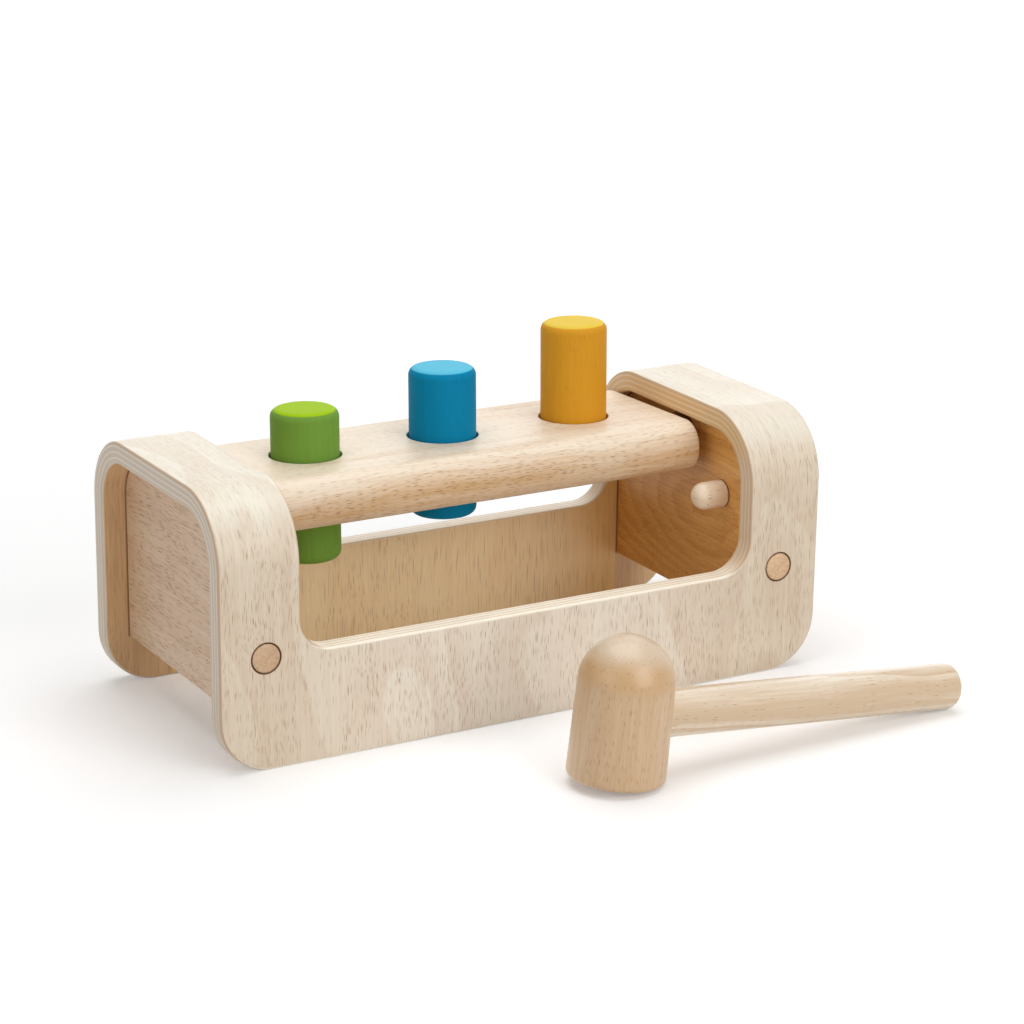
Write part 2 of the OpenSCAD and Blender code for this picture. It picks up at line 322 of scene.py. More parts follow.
def board_grain(co):
    """Grain along the first axis of a board."""
    return co.x, co.y, co.z


def sheet_grain(co):
    """Grain along the flat sheet from foot to foot, with the depth under its outer face last."""
    return co.y, co.x, -co.z


def revolve(bm, steps):
    """Turns a section that lies beside Z all the way round it."""
    bmesh.ops.spin(bm, geom=bm.verts[:] + bm.edges[:], cent=(0, 0, 0), axis=(0, 0, 1), angle=FULL_TURN,
                   steps=steps, use_merge=True)
    bmesh.ops.remove_doubles(bm, verts=bm.verts[:], dist=SAME_SPOT)
    bmesh.ops.recalc_face_normals(bm, faces=bm.faces[:])


def lathe(profile, steps=ROUND_STEPS, closed=False):
    """Turned shape about Z from points of radius and height, which start and end on the axis or close."""
    bm = bmesh.new()
    verts = [bm.verts.new((radius, 0, height)) for radius, height in profile]
    following = verts[1:] + verts[:1] if closed else verts[1:]
    for pair in zip(verts, following):
        bm.edges.new(pair)
    revolve(bm, steps)
    return bm


def rod_profile(diameter, length, foot, nose, steps=6):
    """Profile of a rod along Z with a rounded rim at each end."""
    radius = diameter / 2
    points = [(0, 0)]
    points += arc((radius - foot, foot), foot, -90, 0, steps)
    points += arc((radius - nose, length - nose), nose, 0, 90, steps)
    points.append((0, length))
    return points


def spacer_ring(outer, inner, length, rim):
    """Plain washer along Z with eased rims."""
    bm = lathe([(inner, 0), (outer, 0), (outer, length), (inner, length)], RING_STEPS, closed=True)
    ease(bm, sharp_edges(bm), rim)
    return bm


def rubber_ring(section, radius):
    """Round ring about Z."""
    bm = bmesh.new()
    circle = bmesh.ops.create_circle(bm, segments=2 * RIM_STEPS, radius=section)
    stand = Matrix.Translation((radius, 0, 0)) @ Matrix.Rotation(QUARTER_TURN, 4, "X")
    bmesh.ops.transform(bm, matrix=stand, verts=circle["verts"])
    revolve(bm, RING_STEPS)
    return bm


def piece(name, bm, place, body, node, material):
    """Finishes a modelled piece: it goes to its place, rides on its body and stands for its CAD node."""
    bmesh.ops.transform(bm, matrix=place, verts=bm.verts[:])
    for face in bm.faces:
        face.smooth = True
    mesh = bpy.data.meshes.new(name)
    bm.to_mesh(mesh)
    bm.free()
    obj = bpy.data.objects.new(name, mesh)
    bpy.context.scene.collection.objects.link(obj)
    mesh.materials.append(material)
    normals = obj.modifiers.new("Even shading", "WEIGHTED_NORMAL")
    normals.weight = LARGE_FACES_RULE
    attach(obj, body)
    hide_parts(node)
    return obj


# Material helpers

WHITE = (1.0, 1.0, 1.0, 1.0)
NO_SHIFT = (0.0, 0.0, 0.0)


class Nodes:
    """Short calls that add nodes to one node tree."""

    def __init__(self, tree):
        self.tree = tree

    def feed(self, socket, value):
        """Links a socket to another node's output, or sets its value."""
        if isinstance(value, bpy.types.NodeSocket):
            self.tree.links.new(value, socket)
        else:
            socket.default_value = value

    def feed_all(self, sockets, values):
        """Feeds each socket the value in the same place of its list."""
        for socket, value in zip(sockets, values):
            self.feed(socket, value)

    def fill(self, node, **inputs):
        """Feeds a node's inputs by name, with an underscore for each space."""
        for key, value in inputs.items():
            self.feed(node.inputs[key.replace("_", " ")], value)

    def add(self, kind, settings=None, **inputs):
        """Adds a node, with settings on it and values or links on its inputs."""
        node = self.tree.nodes.new(kind)
        for key, value in (settings or {}).items():
            setattr(node, key, value)
        self.fill(node, **inputs)
        return node

    def math(self, operation, first, second=0.0):
        """One step of arithmetic."""
        node = self.add("ShaderNodeMath", {"operation": operation})
        self.feed_all(node.inputs, (first, second))
        return node.outputs[0]

    def times(self, first, second):
        """Product of two numbers."""
        return self.math("MULTIPLY", first, second)

    def size_of(self, value):
        """A number without its sign."""
        return self.math("ABSOLUTE", value)

    def vector(self, operation, first, second=NO_SHIFT, output="Vector"):
        """One step of arithmetic on vectors."""
        node = self.add("ShaderNodeVectorMath", {"operation": operation})
        self.feed_all(node.inputs, (first, second))
        return node.outputs[output]

    def mix(self, factor, first, second):
        """Mixes two colours."""
        node = self.add("ShaderNodeMix", {"data_type": "RGBA"})
        self.feed_all((node.inputs[0], node.inputs[6], node.inputs[7]), (factor, first, second))
        return node.outputs[2]

    def blend(self, factor, first, second):
        """Mixes two numbers."""
        node = self.add("ShaderNodeMix", {"data_type": "FLOAT"})
        self.feed_all((node.inputs[0], node.inputs[2], node.inputs[3]), (factor, first, second))
        return node.outputs[0]

    def noise(self, place, stretch, detail=2.0, rough=0.5):
        """Noise on a place in millimetres, with its frequency along each axis."""
        scaled = self.vector("MULTIPLY", place, stretch)
        node = self.add("ShaderNodeTexNoise", Vector=scaled, Scale=1.0, Detail=detail, Roughness=rough)
        return node.outputs["Fac"]

    def span(self, value, low, high, to_low=0.0, to_high=1.0, smooth=True):
        """Maps a range of values to another."""
        kind = "SMOOTHSTEP" if smooth else "LINEAR"
        node = self.add("ShaderNodeMapRange", {"interpolation_type": kind})
        self.feed_all(node.inputs[:5], (value, low, high, to_low, to_high))
        return node.outputs[0]

    def ridge(self, value, up, down):
        """0 that rises to 1 over the first range of values and falls back to 0 over the second."""
        return self.times(self.span(value, *up), self.span(value, down[1], down[0]))

    def parts(self, vector):
        """The three numbers of a vector."""
        node = self.add("ShaderNodeSeparateXYZ", Vector=vector)
        return node.outputs[0], node.outputs[1], node.outputs[2]

    def join(self, x, y, z):
        """A vector of three numbers."""
        return self.add("ShaderNodeCombineXYZ", X=x, Y=y, Z=z).outputs[0]

    def in_view(self):
        """1 where a surface is seen, directly or in gloss, and 0 where it lights the object."""
        rays = self.add("ShaderNodeLightPath").outputs
        seen = self.math("MAXIMUM", rays["Is Camera Ray"], rays["Is Glossy Ray"])
        return self.math("MAXIMUM", seen, rays["Is Transmission Ray"])


class Finish(Nodes):
    """One material and its shader."""

    def __init__(self, name):
        self.material = bpy.data.materials.new(name)
        self.material.use_nodes = True
        super().__init__(self.material.node_tree)

    def shade(self, **inputs):
        """Sets or links inputs of the material's shader."""
        self.fill(self.tree.nodes["Principled BSDF"], **inputs)


def opaque(colour, share=1.0):
    """A colour property as the four numbers that a socket takes, darker by a share below one."""
    return (*(channel * share for channel in colour), 1.0)


def tones(colours, wood, share=1.0):
    """Light and dark tone of a wood."""
    return opaque(getattr(colours, wood), share), opaque(getattr(colours, wood + "_dark"), share)


def between(finish, factor, first, second):
    """A light and a dark tone that go over into two others."""
    return [finish.mix(factor, tone, other) for tone, other in zip(first, second)]


class Fade(NamedTuple):
    """A slow change of tone along one axis of a piece."""
    axis: int
    pale_at: float
    dark_at: float
    share: float


class Look(NamedTuple):
    """How one wood looks, in millimetres with the grain along the first axis.

    A shift gives each piece its own wood, with growth rings about a pith. Along the grain, a pair of places
    says where the wood is clear and where painted shade darkens it, in the gap where it goes into another
    piece.
    """
    shift: tuple = NO_SHIFT
    pith: tuple = (0.0, 45.0, 60.0)
    ring_stretch: float = 0.04
    ring_width: float = 6.0
    rings: float = 0.3
    fibre: float = 0.25
    pores: float = 0.8
    pore_length: float = 4.0
    pore_gap: float = 0.45
    pore_depth: float = 0.8
    fades: tuple = ()
    sunk: tuple = ()
    rough: float = 0.48
    gloss: float = 0.25
    haze: float = 0.38


VENEER = Look(rings=0.0, fibre=0.4, pores=1.0, pore_length=7.0, pore_gap=0.28, pore_depth=1.3)
LINING = Look(rings=0.0, fibre=0.4, pores=1.0, pore_length=18.0, pore_gap=0.36, pore_depth=0.8)
LEFT_PANEL = Look(shift=(130.0, 20.0, 0.0), rings=0.25, ring_width=9.0, fibre=0.3, pores=1.0,
                  pore_length=8.0, pore_gap=0.35, pore_depth=1.8,
                  fades=(Fade(0, -40.0, 42.0, 0.2), Fade(1, 5.0, 70.0, 0.1)))
# The right panel's fade paints it paler towards its top, as painted light coming in through the window, and
# darker towards the bottom.
RIGHT_PANEL = Look(shift=(420.0, 60.0, 10.0), pith=(-16.0, 34.0, -9.0), ring_stretch=0.45, ring_width=4.2,
                   rings=0.45, fibre=0.35, pores=1.0, pore_length=3.0, pore_depth=0.8,
                   fades=(Fade(1, 65.0, 15.0, 0.2),))
# The pins are painted dark with gap shade where they go into the panel.
PINS = Look(shift=(210.0, 40.0, 0.0), pores=0.5, pore_depth=1.0, sunk=(10.9, 10.3))
DOWELS = Look(rings=0.25, ring_width=5.0, fibre=0.4, pores=0.6, pore_length=1.2, pore_depth=0.4)
DOWEL_SHADE = {"left": 0.82, "right": 1.0}
# The bar's fade across its thickness makes it paler towards its top face, partly painted light on the top and
# partly darker grain on its lower front; its fade along the bar darkens it towards the right end.
BAR = Look(shift=(700.0, 0.0, 0.0), rings=0.2, ring_width=9.0, pores=1.0, pore_length=4.5, pore_gap=0.3,
           pore_depth=1.25, fades=(Fade(2, 8.5, -1.0, 0.35), Fade(0, -80.0, 90.0, 0.12)))
STAIN = Look(rings=0.0, pores=0.6, pore_length=5.0, pore_gap=0.65, rough=0.5, gloss=0.03, haze=0.2)
PEG_SHIFT = Vector((90.0, 33.0, 17.0))
HEAD = Look(shift=(1000.0, 0.0, 0.0), rings=0.2, ring_width=4.0, fibre=0.35, pores=0.5, pore_depth=0.8,
            rough=0.42, gloss=0.6, haze=0.26)
# Painted light on the handle: its fades paint it paler along the top as a highlight and paler towards the
# underside to lift its shade, so it is darkest between.
HANDLE = Look(shift=(1300.0, 0.0, 0.0), rings=0.5, ring_width=4.5, fibre=0.22, pores=0.4, pore_depth=0.6,
              fades=(Fade(1, -8.0, -3.0, 0.33), Fade(1, 6.5, -1.0, 0.3)), gloss=0.7, haze=0.24)

# How often the wood changes in a millimetre, along the grain and across it
WANDER = (0.014, 0.03, 0.03)
RIPPLE = (0.01, 0.09, 0.09)
CROWD = (0.02, 0.1, 0.1)
FIBRE = (0.03, 1.1, 1.1)
SLOW = (0.01, 0.05, 0.05)
FIGURE = (0.009, 0.021, 0.0)
UNEVEN = (0.03, 0.03, 0.0)
SAW_DRAG = (0.12, 0.12, 3.0)
SPECKS = (2.0, 2.0, 2.0)

# Where the values of a noise lie
MEAN_NOISE = 0.5
MID_NOISE = (0.35, 0.65)
NOISE = (0.3, 0.7)
WIDE_NOISE = (0.2, 0.8)


def grain_place(finish, shift):
    """Place in the wood in millimetres, moved so that no two pieces show the same wood."""
    stored = finish.add("ShaderNodeAttribute", {"attribute_name": GRAIN}).outputs["Vector"]
    millimetres = finish.vector("MULTIPLY", stored, (1 / MM, 1 / MM, 1 / MM))
    return finish.vector("ADD", millimetres, shift)


def wandering(finish, place):
    """The same place, moved sideways a little so that the grain wanders."""
    reach = 6.0
    sway = finish.times(finish.math("SUBTRACT", finish.noise(place, WANDER), MEAN_NOISE), reach)
    return finish.vector("ADD", place, finish.join(0.0, sway, sway))


def growth_rings(finish, place, look):
    """Growth rings about a pith, from 0 in pale early wood to 1 in dark late wood."""
    ripple_share = 1.6
    pale, darkest = 0.1, 0.92
    stretch = (look.ring_stretch, 1.0, 1.0)
    spot = finish.vector("MULTIPLY", place, stretch)
    pith = [(moved + centre) * factor for moved, centre, factor in zip(look.shift, look.pith, stretch)]
    ripple = finish.times(finish.noise(place, RIPPLE, detail=3.0), look.ring_width * ripple_share)
    reach = finish.math("ADD", finish.vector("DISTANCE", spot, pith, "Value"), ripple)
    saw = finish.math("FRACT", finish.math("DIVIDE", reach, look.ring_width))
    return finish.ridge(saw, (pale, darkest), (darkest, 1.0))


def open_pores(finish, place, look):
    """Slim pores strewn along the grain, crowded in some places and sparse in others."""
    sparse_share, faint_share = 0.35, 0.4
    rim, core = 0.4, 0.16
    cells = finish.vector("MULTIPLY", place, (1 / look.pore_length, 1 / look.pore_gap, 1 / look.pore_gap))
    cell = finish.add("ShaderNodeTexVoronoi", Vector=cells, Scale=1.0)
    chance, strength = finish.parts(cell.outputs["Color"])[:2]
    crowd = finish.noise(place, CROWD)
    limit = finish.span(crowd, *MID_NOISE, sparse_share * look.pores, look.pores)
    kept = finish.math("LESS_THAN", chance, limit)
    slim = finish.span(cell.outputs["Distance"], rim, core)
    deep = finish.times(kept, finish.span(strength, 0.0, 1.0, faint_share, 1.0, smooth=False))
    return finish.times(slim, deep)


def grain_tone(finish, place, look, rings):
    """Share of the dark tone, and the fine fibre by itself."""
    palest, darkest = 0.15, 0.55
    fibre = finish.noise(place, FIBRE, detail=4.0, rough=0.6)
    slow = finish.noise(place, SLOW)
    streak = finish.math("ADD", finish.span(fibre, *NOISE, -look.fibre, look.fibre, smooth=False),
                         finish.span(slow, *NOISE, palest, darkest, smooth=False))
    tone = finish.math("ADD", streak, finish.times(rings, look.rings))
    for fade in look.fades:
        start = look.shift[fade.axis]
        drift = finish.span(finish.parts(place)[fade.axis], start + fade.pale_at, start + fade.dark_at,
                            -fade.share, fade.share, smooth=False)
        tone = finish.math("ADD", tone, drift)
    return finish.span(tone, 0.0, 1.0, smooth=False), fibre


def lacquer(finish, fibre, pores, look):
    """Satin lacquer with the pores just open in it."""
    uneven, fibre_height = 0.05, 0.3
    height = finish.math("SUBTRACT", finish.times(fibre, fibre_height), pores)
    bump = finish.add("ShaderNodeBump", Height=height, Strength=0.1, Distance=0.1 * MM)
    finish.shade(Roughness=finish.span(fibre, *WIDE_NOISE, look.rough - uneven, look.rough + uneven),
                 Coat_Weight=look.gloss, Coat_Roughness=look.haze, Normal=bump.outputs["Normal"])


def board(finish, place, wood, look, depth=1.0):
    """Colour of a board between its light and its dark tone, its fibre and its pores."""
    pale_share, full_tone = 0.5, 0.8
    colours = bpy.context.scene.bench_colours
    swayed = wandering(finish, place)
    rings = growth_rings(finish, swayed, look) if look.rings else 0.0
    tone, fibre = grain_tone(finish, swayed, look, rings)
    pores = open_pores(finish, swayed, look)
    shown = finish.span(tone, 0.0, full_tone, pale_share * look.pore_depth, look.pore_depth)
    filled = finish.times(finish.times(pores, shown), depth)
    colour = finish.mix(filled, finish.mix(tone, *wood), opaque(colours.pore))
    # Painted shade: the wood darkens where it goes into the gap of another piece.
    if look.sunk:
        clear, dark = (look.shift[0] + along for along in look.sunk)
        colour = finish.mix(finish.span(finish.parts(place)[0], clear, dark), colour, opaque(colours.seam))
    return colour, fibre, pores


def dress(finish, place, wood, look):
    """Finishes a material as a lacquered board."""
    colour, fibre, pores = board(finish, place, wood, look)
    finish.shade(Base_Color=colour)
    lacquer(finish, fibre, pores, look)
    return finish.material


def solid_wood(name, wood, look):
    """Solid pale hardwood under satin lacquer."""
    finish = Finish(name)
    return dress(finish, grain_place(finish, look.shift), wood, look)


def shaded_panel_wood(colours, look):
    """Wood of the right end panel, painted deep orange-brown inside the arch for its shade and warm bounce
    light, and like the left panel on its outer face.
    """
    finish = Finish("right panel wood")
    place = grain_place(finish, look.shift)
    face = look.shift[2]
    # Painted shade on the inner face, going over to the plain panel tones on the outer face.
    shade_under, pale_over = face - 3.0, face - 1.0
    outer = finish.span(finish.parts(place)[2], shade_under, pale_over)
    wood = between(finish, outer, tones(colours, "painted_panel_shade"), tones(colours, "panel"))
    return dress(finish, place, wood, look)


def domed_wood(colours, sizes, look):
    """Wood of the hammer head: its shoulder is darker, partly end grain that has taken up more finish and
    partly painted shade, and the top of its dome is a painted highlight.
    """
    soak_from, soak_to = -2.0, 4.0
    highlight_from, highlight_to = 6.0, 13.0
    finish = Finish("hammer head wood")
    place = grain_place(finish, look.shift)
    along = finish.parts(place)[0]
    shoulder = (sizes.height - sizes.shoulder / 2) / MM + look.shift[0]
    # Darker shoulder band, partly end grain and partly painted shade, and a painted highlight over the top of
    # the dome.
    soak_and_shade = finish.span(along, shoulder + soak_from, shoulder + soak_to)
    highlit = finish.span(along, shoulder + highlight_from, shoulder + highlight_to)
    wood = between(finish, soak_and_shade, tones(colours, "hammer"), 2 * [opaque(colours.hammer_end)])
    wood = between(finish, highlit, wood, 2 * [opaque(colours.hammer_highlight)])
    return dress(finish, place, wood, look)


def stained_wood(name, side, end, sizes, look):
    """Wood under a coloured stain, painted lighter on its ends as if lit from above, with the fibre just
    showing.
    """
    lit_end_from, lit_end_full = 0.28, 0.14
    streak_share, streak_shade = 0.7, 0.8
    pore_share, pore_shade = 0.3, 0.5
    sheen = 0.03
    finish = Finish(name)
    place = grain_place(finish, look.shift)
    half = sizes.peg_length / MM / 2
    rim = sizes.peg_round / MM
    from_middle = finish.size_of(finish.math("SUBTRACT", finish.parts(place)[0], half + look.shift[0]))
    # Painted light on both ends of the peg.
    ends = finish.span(from_middle, half - lit_end_from * rim, half - lit_end_full * rim)
    swayed = wandering(finish, place)
    tone, fibre = grain_tone(finish, swayed, look, 0.0)
    pores = open_pores(finish, swayed, look)
    body = finish.mix(finish.times(tone, streak_share), opaque(side), opaque(side, streak_shade))
    body = finish.mix(finish.times(pores, pore_share), body, opaque(side, pore_shade))
    finish.shade(Base_Color=finish.mix(ends, body, opaque(end)), Specular_IOR_Level=sheen)
    lacquer(finish, fibre, pores, look)
    return finish.material


def rubber(colour):
    """Dull black rubber."""
    speck_light = 1.6
    smoothest, roughest = 0.6, 0.8
    finish = Finish("friction rubber")
    speck = finish.noise(grain_place(finish, NO_SHIFT), SPECKS)
    finish.shade(Base_Color=finish.mix(speck, opaque(colour), opaque(colour, speck_light)),
                 Roughness=finish.span(speck, *WIDE_NOISE, smoothest, roughest))
    return finish.material


# Plywood

def sheet_half(sizes):
    """Half the length of the flat sheet from foot to foot, measured on its outer face."""
    return SHELL.y / 2 - sizes.bend + sizes.bend * QUARTER_TURN + SHELL.z - sizes.bend


def dowel_hole(sizes):
    """Place of a dowel hole across and along the flat sheet from its middle, and the hole's radius."""
    dowel = middle("front_right_dowel")
    return dowel.x - BENCH_MIDDLE.x, sheet_half(sizes) - dowel.z, DOWEL.x / 2 + sizes.dowel_ring


def panel_reach():
    """Distances of an end panel's inner and outer face from the bench's middle, in millimetres."""
    low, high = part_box("right_end_panel")
    return (low.x - BENCH_MIDDLE.x) / MM, (high.x - BENCH_MIDDLE.x) / MM


def plywood(colours, sizes):
    """Veneer on both faces, and the striped layers where the sheet is cut."""
    gap_shade_share, ring_blur = 0.7, 0.3
    outer_half, inner_half = 0.45, 0.55
    finish = Finish("bent plywood")
    place = grain_place(finish, VENEER.shift)
    along, across, depth = finish.parts(place)
    thickness = sizes.ply / MM
    inside = finish.span(depth, thickness * outer_half, thickness * inner_half)
    over = lit_top_share(finish, sizes, along)
    outer, fibre, pores = outer_veneer(finish, colours, place, across, over)
    inner, inner_fibre, inner_pores = inner_veneer(finish, colours, place, across)
    # Painted shade along the gap where each end panel meets the lining.
    seam = finish.times(panel_gap_shade(finish, sizes, along, across), gap_shade_share)
    face = finish.mix(inside, outer, finish.mix(seam, inner, opaque(colours.seam)))
    layers = cut_layers(finish, colours, sizes, place, over)
    surface = finish.mix(cut_share(finish, depth, thickness), face, layers)
    # Painted shade: a dark ring round each dowel hole, in the gap round the dowel.
    hole_x, hole_t, hole_r = (length / MM for length in dowel_hole(sizes))
    spot = finish.join(finish.size_of(across), finish.size_of(along), 0.0)
    from_hole = finish.vector("DISTANCE", spot, (hole_x, hole_t, 0.0), "Value")
    sunk = finish.span(from_hole, hole_r + ring_blur, hole_r)
    finish.shade(Base_Color=finish.mix(sunk, surface, opaque(colours.seam)))
    lacquer(finish, finish.blend(inside, fibre, inner_fibre), finish.blend(inside, pores, inner_pores),
            VENEER)
    return finish.material


def lit_top_share(finish, sizes, along):
    """0 on the walls and 1 over the top, along the sheet from its middle: where the painted paler tone of the
    lit top takes over.
    """
    wall_from, crown_from = 0.8, 0.4
    flat = (SHELL.y / 2 - sizes.bend) / MM
    bent = sizes.bend * QUARTER_TURN / MM
    return finish.span(finish.size_of(along), flat + wall_from * bent, flat + crown_from * bent)


def outer_veneer(finish, colours, place, across, over):
    """Face veneer of the straps, the rails between them and the top, with faint growth lines; painted light
    makes the rails and the top paler and the top's pores fainter.
    """
    lit_rail_from, lit_rail_full = 100.0, 40.0
    # Painted sheen: over the top the pores show at half strength, as if a sheen washed them out.
    sheen_washed_pores = 0.5
    lines_shift, lines_in_noise, lines_share = (140.0, 30.0, 0.0), 6.0, 0.22
    darkening, paling = (0.0, 0.9), (0.93, 1.0)
    # Painted light: the paler rail tone, which lifts the hammer's shade on the front rail.
    rail = finish.span(finish.size_of(across), lit_rail_from, lit_rail_full)
    wall = between(finish, rail, tones(colours, "veneer"), tones(colours, "rail"))
    wood = between(finish, over, wall, tones(colours, "lit_crown"))
    shown = finish.span(over, 0.0, 1.0, 1.0, sheen_washed_pores)
    face, fibre, pores = board(finish, place, wood, VENEER, shown)
    contour = finish.noise(finish.vector("ADD", place, lines_shift), FIGURE, detail=1.0)
    saw = finish.math("FRACT", finish.times(contour, lines_in_noise))
    lines = finish.times(finish.ridge(saw, darkening, paling), lines_share)
    return finish.mix(lines, face, opaque(colours.figure)), fibre, pores


def inner_veneer(finish, colours, place, across):
    """Lining of the arch, painted with shade: warmer and darker beside the end panels, and darker under and
    outside them.
    """
    warm_run, warm_share, edge_blur = 34.0, 0.7, 1.0
    panel_in = panel_reach()[0]
    reach = finish.size_of(across)
    # Painted shade and bounce light beside the panels, and painted shade under and outside them.
    beside = finish.span(reach, panel_in - warm_run, panel_in, 0.0, warm_share)
    outside = finish.span(reach, panel_in - edge_blur, panel_in)
    wood = between(finish, beside, tones(colours, "lining"), tones(colours, "panel_bounce_shade"))
    wood = between(finish, outside, wood, tones(colours, "recess"))
    return board(finish, place, wood, LINING)


def panel_gap_shade(finish, sizes, along, across):
    """1 on the lining where an end panel meets it, where painted shade draws a dark line along the gap
    between them.
    """
    clear, dark, foot_blur = 0.5, 0.2, 0.3
    panel_in, panel_out = panel_reach()
    foot = (sheet_half(sizes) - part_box("right_end_panel")[0].z) / MM
    under = finish.ridge(finish.size_of(across), (panel_in - clear, panel_in - dark),
                         (panel_out + dark, panel_out + clear))
    above = finish.span(finish.size_of(along), foot + foot_blur, foot)
    return finish.times(under, above)


def cut_share(finish, depth, thickness):
    """0 on the two faces of the plywood and 1 between them, where its edges are."""
    face_depth, cut_depth = 0.03, 0.2
    nearest = finish.math("MINIMUM", depth, finish.math("SUBTRACT", thickness, depth))
    return finish.span(nearest, face_depth, cut_depth)


def cut_layers(finish, colours, sizes, place, over):
    """Colour of the plywood's edges: striped end grain on upright cuts, pale with tan lines on level ones."""
    layer_depth, line_share, drag_share, rim_share = 2.1, 0.45, 0.3, 0.8
    line_from, line_to = (0.62, 0.74), (0.9, 1.0)
    least_waver, most_waver = 0.05, 0.3
    level_cut, upright_cut, window_blur = 0.2, 0.9, 1.0
    drag_from, drag_full = 0.4, 0.75
    rim_over, rim_under, rim_level, rim_upright = 1.2, 0.4, 0.1, 0.5
    across, depth = finish.parts(place)[1:]
    waver = finish.span(finish.noise(place, UNEVEN), *NOISE, least_waver, most_waver, smooth=False)
    layer = finish.math("FRACT", finish.math("DIVIDE", finish.math("ADD", depth, waver), layer_depth))
    line = finish.ridge(layer, line_from, line_to)
    normal = finish.add("ShaderNodeNewGeometry").outputs["Normal"]
    sideways = finish.size_of(finish.parts(normal)[0])
    pale, tan = opaque(colours.layer_pale), opaque(colours.layer_tan)
    strap_middle = (SHELL.x - sizes.strap) / 2 / MM
    # Painted bounce light and shade: the windows' edges take warmer tones than the plywood's outer edges.
    at_window = finish.span(finish.size_of(across), strap_middle + window_blur, strap_middle - window_blur)
    shaded_window_edges = finish.mix(over, opaque(colours.layer_window_bounce), opaque(colours.layer_top_window_shade))
    upright = finish.mix(at_window, opaque(colours.layer_end), shaded_window_edges)
    upright = finish.mix(finish.times(line, line_share), upright, pale)
    turned = finish.span(sideways, level_cut, upright_cut)
    layers = finish.mix(turned, finish.mix(line, pale, tan), upright)
    drag = finish.noise(place, SAW_DRAG, detail=3.0)
    layers = finish.mix(finish.span(drag, drag_from, drag_full, 0.0, drag_share), layers, tan)
    rim = finish.times(finish.span(depth, rim_over, rim_under, 0.0, rim_share),
                       finish.span(sideways, rim_level, rim_upright))
    return finish.mix(rim, layers, opaque(colours.layer_rim))


def sheet_outline(bm, sizes):
    """A quarter of the flat sheet, cut through the dowel hole so that neither face has an inner loop."""
    half_l = SHELL.x / 2
    foot_t = -sheet_half(sizes)
    rail_t = foot_t + sizes.rail
    window_x = half_l - sizes.strap
    corner = (window_x - sizes.window, rail_t + sizes.window)
    hole_x, hole_t, hole_r = dowel_hole(sizes)
    hole = (hole_x, -hole_t)
    half_corner, half_hole = CORNER_STEPS // 2, 20
    rail_side = [(0, foot_t)]
    rail_side += arc((half_l - sizes.foot, foot_t + sizes.foot), sizes.foot, -90, 0, CORNER_STEPS)
    rail_side += [(half_l, hole[1])]
    rail_side += arc(hole, hole_r, 0, -180, half_hole)
    rail_side += arc(corner, sizes.window, -45, -90, half_corner)
    rail_side += [(0, rail_t)]
    strap_side = [(half_l, hole[1]), (half_l, 0), (window_x, 0)]
    strap_side += arc(corner, sizes.window, 0, -45, half_corner)
    strap_side += arc(hole, hole_r, 180, 0, half_hole)
    outline_face(bm, rail_side)
    outline_face(bm, strap_side)
    bmesh.ops.remove_doubles(bm, verts=bm.verts[:], dist=SAME_SPOT)


def bend_sheet(bm, sizes):
    """Bends the flat sheet over both long edges."""
    flat_half = SHELL.y / 2 - sizes.bend
    arc_length = sizes.bend * QUARTER_TURN
    for vert in bm.verts:
        x, t, depth = vert.co.x, vert.co.y, -vert.co.z
        side = math.copysign(1, t)
        past = abs(t) - flat_half
        if past <= 0:
            vert.co = (x, t, SHELL.z - depth)
        elif past <= arc_length:
            angle = past / sizes.bend
            radius = sizes.bend - depth
            vert.co = (x, side * (flat_half + radius * math.sin(angle)),
                       SHELL.z - sizes.bend + radius * math.cos(angle))
        else:
            vert.co = (x, side * (SHELL.y / 2 - depth), SHELL.z - sizes.bend - (past - arc_length))


class BENCH_OT_shell(bpy.types.Operator):
    """Cuts a plywood sheet flat, eases its edges and bends it"""
    bl_idname = "bench.shell"
    bl_label = "Bent plywood shell"

    def execute(self, context):
        sizes = context.scene.bench_sizes
        bm = bmesh.new()
        sheet_outline(bm, sizes)
        mirror(bm, ("X", "Y"))
        thicken(bm, sizes.ply)
        dowel_x, dowel_t, dowel_r = dowel_hole(sizes)

        def off_holes(edge):
            spot = (edge.verts[0].co + edge.verts[1].co) / 2
            return math.hypot(abs(spot.x) - dowel_x, abs(spot.y) - dowel_t) > 2 * dowel_r

        ease(bm, sharp_edges(bm, off_holes), sizes.ease)
        flat_half = SHELL.y / 2 - sizes.bend
        bend_steps = 24
        for side in (-1, 1):
            for step in range(bend_steps + 1):
                cut = side * (flat_half + sizes.bend * QUARTER_TURN * step / bend_steps)
                bmesh.ops.bisect_plane(bm, geom=whole(bm), dist=SAME_SPOT / 10, plane_co=(0, cut, 0),
                                       plane_no=(0, 1, 0))
        mark_grain(bm, sheet_grain)
        bend_sheet(bm, sizes)
        bmesh.ops.recalc_face_normals(bm, faces=bm.faces[:])
        piece("bent_plywood", bm, Matrix.Translation(BENCH_MIDDLE), "bench", "plywood_shell",
              plywood(context.scene.bench_colours, sizes))
        return {"FINISHED"}


# Pieces inside the arch

